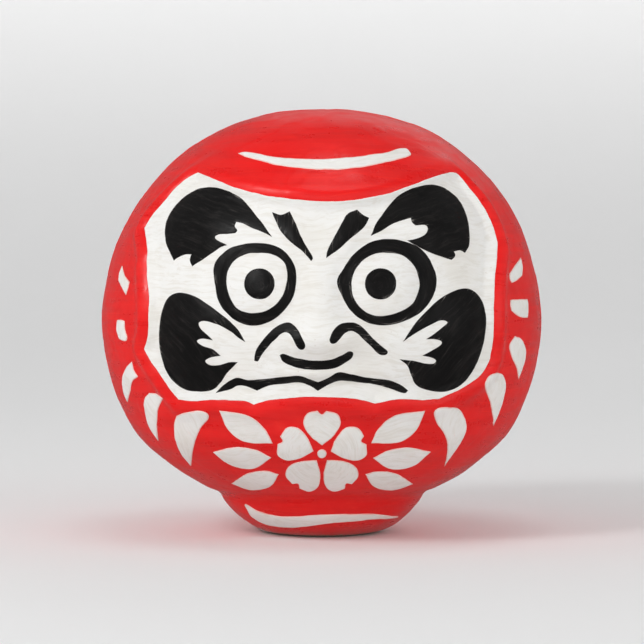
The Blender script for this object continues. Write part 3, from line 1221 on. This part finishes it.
def white_paint(name, over_red):
    n = Nodes(name)
    flow = n.vec("ADD", n.attribute("flow", True),
                 n.vec("SCALE", n.noise_colour(n.p, 30.0), scale=13.0))
    edge = n.attribute("edge")
    broad = n.noise(n.p, 24.0, 3.0)
    mottle = n.noise(n.p, 3.8, 5.0, 0.6)
    stroke = n.noise(n.stretch(flow, 0.075, 0.85, 1.0), 1.0, 4.0, 0.62, 0.3)
    bristle = n.noise(n.stretch(flow, 0.10, 2.6, 1.0), 1.0, 3.0, 0.6)
    grain = n.noise(n.p, 0.40, 3.0, 0.6)
    pits = n.ramp(n.voronoi(n.p, 2.3, "F1"), 0.16, 0.05)
    pits = n.math("MULTIPLY", pits, n.ramp(n.noise(n.p, 9.0, 2.0), 0.52, 0.66))
    colour = n.mix(n.ramp(broad, 0.38, 0.75, 0.0, 0.55), WHITE, WHITE_WARM)
    colour = n.mix(n.ramp(mottle, 0.55, 0.82, 0.0, 0.45), colour, WHITE_WARM)
    colour = n.mix(n.ramp(stroke, 0.56, 0.32, 0.0, 0.60), colour, (0.725, 0.695, 0.635))
    colour = n.mix(n.ramp(bristle, 0.52, 0.76, 0.0, 0.50), colour, (0.90, 0.893, 0.872))
    colour = n.mix(n.math("MULTIPLY", pits, 0.5), colour, (0.60, 0.54, 0.45))
    if over_red:
        thin = n.math("MULTIPLY", n.ramp(edge, 0.70, 0.0),
                      n.ramp(stroke, 0.35, 0.62, 0.15, 0.70))
        colour = n.mix(thin, colour, (0.86, 0.33, 0.27))
        dry = n.ramp(n.noise(n.stretch(flow, 0.14, 1.9, 1.0), 1.0, 5.0, 0.7), 0.62, 0.72)
        colour = n.mix(n.math("MULTIPLY", dry, 0.42), colour, (0.87, 0.40, 0.33))
    rough = n.ramp(mottle, 0.3, 0.75, 0.46, 0.64)
    b = n.bump(stroke, 0.11, 0.8)
    b = n.bump(bristle, 0.04, 0.8, b)
    b = n.bump(n.noise(n.p, 1.9, 4.0, 0.6, 0.5), 0.08, 0.7, b)
    b = n.bump(grain, 0.022, 0.7, b)
    return n.finish(colour, rough, b, 0.30)


def black_paint():
    n = Nodes("soot_ink")
    flow = n.vec("ADD", n.attribute("flow", True),
                 n.vec("SCALE", n.noise_colour(n.p, 22.0), scale=7.0))
    edge = n.attribute("edge")
    stroke = n.noise(n.stretch(flow, 0.06, 1.0, 1.0), 1.0, 5.0, 0.62, 0.4)
    bristle = n.noise(n.stretch(flow, 0.09, 2.8, 1.0), 1.0, 3.0, 0.6, 0.2)
    mottle = n.noise(n.p, 3.0, 4.0, 0.6)
    colour = n.mix(n.ramp(stroke, 0.48, 0.78, 0.0, 0.85), BLACK, BLACK_THIN)
    colour = n.mix(n.ramp(bristle, 0.58, 0.78, 0.0, 0.55), colour, (0.050, 0.043, 0.040))
    # the brush runs dry towards an edge here and there, and the white grins through
    dry = n.math("MULTIPLY", n.ramp(bristle, 0.56, 0.66), n.ramp(edge, 1.5, 0.15))
    dry = n.math("MULTIPLY", dry, n.ramp(n.noise(n.p, 8.0, 2.0), 0.48, 0.62))
    colour = n.mix(n.math("MULTIPLY", dry, 0.55), colour, (0.40, 0.37, 0.34))
    colour = n.mix(n.ramp(edge, 0.35, 0.0, 0.0, 0.45), colour, (0.060, 0.050, 0.046))
    rough = n.math("ADD", n.ramp(stroke, 0.3, 0.75, 0.30, 0.50),
                   n.ramp(mottle, 0.4, 0.8, 0.0, 0.10))
    b = n.bump(stroke, 0.12, 0.8)
    b = n.bump(bristle, 0.05, 0.8, b)
    b = n.bump(n.noise(n.p, 0.45, 2.0), 0.015, 0.6, b)
    return n.finish(colour, rough, b, 0.20)


def kraft():
    n = Nodes("washi_patch")
    fibre = n.noise(n.stretch(n.p, 1.0, 2.2, 1.0), 1.0, 6.0, 0.7, 1.2)
    long_fibre = n.ramp(n.voronoi(n.vec("ADD", n.stretch(n.p, 0.35, 1.0, 1.0),
                                        n.vec("SCALE", n.noise_colour(n.p, 3.0), scale=3.0)),
                                  2.6), 0.05, 0.0)
    sheet = n.noise(n.p, 9.0, 3.0)
    colour = n.mix(n.ramp(sheet, 0.3, 0.7), (0.66, 0.55, 0.38), (0.74, 0.64, 0.47))
    colour = n.mix(n.ramp(fibre, 0.5, 0.8, 0.0, 0.45), colour, (0.46, 0.34, 0.20))
    colour = n.mix(n.math("MULTIPLY", long_fibre, 0.3), colour, (0.84, 0.76, 0.62))
    b = n.bump(fibre, 0.09, 0.9)
    b = n.bump(long_fibre, 0.04, 0.7, b)
    return n.finish(colour, n.ramp(fibre, 0.3, 0.8, 0.78, 0.94), b, 0.25)


def glue():
    n = Nodes("hide_glue")
    flowy = n.noise(n.p, 4.0, 3.0)
    colour = n.mix(n.ramp(flowy, 0.3, 0.7), (0.50, 0.30, 0.09), (0.66, 0.44, 0.17))
    b = n.bump(flowy, 0.4, 0.6)
    return n.finish(colour, n.ramp(n.noise(n.p, 1.6, 3.0), 0.3, 0.7, 0.18, 0.34), b, 0.5)


def give(obj, mat):
    obj.data.materials.clear()
    obj.data.materials.append(mat)


mat_red = red_paint()
mat_face = white_paint("gofun_white_face", False)
mat_mark = white_paint("gofun_white_marks", True)
mat_ink = black_paint()
give(shell_front, mat_red)
give(shell_rear, mat_red)
give(strip, strip_paint())
give(weight, clay_paint())
give(disc, kraft())
give(face, mat_face)
for o in (hood, robe_r, robe_l, blossom, leaves, foot_mark):
    give(o, mat_mark)
for o in (brow_r, brow_l, frown, ring_l, ring_r, pupil_l, pupil_r, nose, lip, mouth, mou_r,
          mou_l):
    give(o, mat_ink)
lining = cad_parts["inner_seam_strip"]
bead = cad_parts["glue_bead"]
give(lining, raw_shell())
give(bead, glue())


# ---------------------------------------------------------------- stage, light, camera
def sweep():
    """A round pale sweep: flat floor that curves up into a low wall all the way round."""
    sec = [(0.0, -0.0001), (0.25, -0.0001), (0.6, -0.0001), (1.1, -0.0001), (1.7, -0.0001)]
    for k in range(1, 13):
        a = math.pi / 2 * k / 12
        sec.append((1.7 + 1.0 * math.sin(a), 1.0 - math.cos(a)))
    sec.append((2.7, 2.6))
    n = 96
    verts, faces = [(0, 0, sec[0][1])], []
    for r, z in sec[1:]:
        for j in range(n):
            a = 2 * math.pi * j / n
            verts.append((r * math.cos(a), r * math.sin(a), z))
    for j in range(n):
        faces.append((0, 1 + j, 1 + (j + 1) % n))
    for i in range(len(sec) - 2):
        for j in range(n):
            a, b = 1 + i * n, 1 + (i + 1) * n
            faces.append((a + j, b + j, b + (j + 1) % n, a + (j + 1) % n))
    mesh = bpy.data.meshes.new("sweep")
    mesh.from_pydata(verts, [], faces)
    mesh.polygons.foreach_set("use_smooth", [True] * len(mesh.polygons))
    obj = bpy.data.objects.new("sweep", mesh)
    bpy.context.scene.collection.objects.link(obj)
    m = bpy.data.materials.new("pale_paper_sweep")
    m.use_nodes = True
    b = m.node_tree.nodes["Principled BSDF"]
    b.inputs["Base Color"].default_value = (0.86, 0.86, 0.86, 1)
    b.inputs["Roughness"].default_value = 0.9
    b.inputs["Specular IOR Level"].default_value = 0.1
    # the wall is lit more than the floor, as a studio background is
    nt = m.node_tree
    where = nt.nodes.new("ShaderNodeTexCoord")
    split = nt.nodes.new("ShaderNodeSeparateXYZ")
    lift = nt.nodes.new("ShaderNodeMapRange")
    lift.interpolation_type = "SMOOTHSTEP"
    for k, v in ((1, 0.0), (2, 0.8), (3, 0.0), (4, 0.50)):
        lift.inputs[k].default_value = v
    nt.links.new(where.outputs["Object"], split.inputs[0])
    nt.links.new(split.outputs["Z"], lift.inputs[0])
    nt.links.new(lift.outputs[0], b.inputs["Emission Strength"])
    b.inputs["Emission Color"].default_value = (1, 1, 1, 1)
    mesh.materials.append(m)
    obj.visible_glossy = False      # the paint mirrors only the lamps, as under black flags
    return obj


sweep()


def area(name, loc, target, size, energy, colour=(1, 1, 1)):
    light = bpy.data.lights.new(name, "AREA")
    light.shape = "RECTANGLE"
    light.size, light.size_y = size
    light.energy = energy
    light.color = colour
    obj = bpy.data.objects.new(name, light)
    obj.location = loc
    obj.rotation_euler = (Vector(target) - Vector(loc)).to_track_quat("-Z", "Y").to_euler()
    obj.visible_camera = False
    bpy.context.scene.collection.objects.link(obj)
    return obj


CENTRE = (0.0, 0.0, 0.08)
area("key", (-0.95, -0.95, 1.00), CENTRE, (0.42, 0.42), 7.6)
area("fill", (1.25, -0.95, 0.35), CENTRE, (0.9, 0.7), 1.45)
area("front", (0.0, -1.6, 0.25), CENTRE, (1.2, 0.4), 1.25)
area("top", (0.10, -0.15, 1.35), CENTRE, (0.5, 0.5), 1.6)
area("back", (0.35, 1.55, 1.1), CENTRE, (1.2, 0.8), 1.3)

world = bpy.data.worlds.new("studio")
world.use_nodes = True
world.node_tree.nodes["Background"].inputs["Color"].default_value = (1.0, 1.0, 1.0, 1)
world.node_tree.nodes["Background"].inputs["Strength"].default_value = 0.22
scene = bpy.context.scene
scene.world = world
scene.view_settings.view_transform = "Standard"
scene.view_settings.look = "None"
scene.view_settings.exposure = 0.0

cam_data = bpy.data.cameras.new("camera")
cam_data.lens = 150.0
cam_data.sensor_width = 36.0
cam = bpy.data.objects.new("camera", cam_data)
bpy.context.scene.collection.objects.link(cam)
dist = 1.02
elev = math.radians(2.0)
aim = Vector((0.0, 0.0, 0.0795))
cam.location = aim + Vector((0.0, -dist * math.cos(elev), dist * math.sin(elev)))
cam.rotation_euler = (aim - cam.location).to_track_quat("-Z", "Y").to_euler()
bpy.context.scene.camera = cam
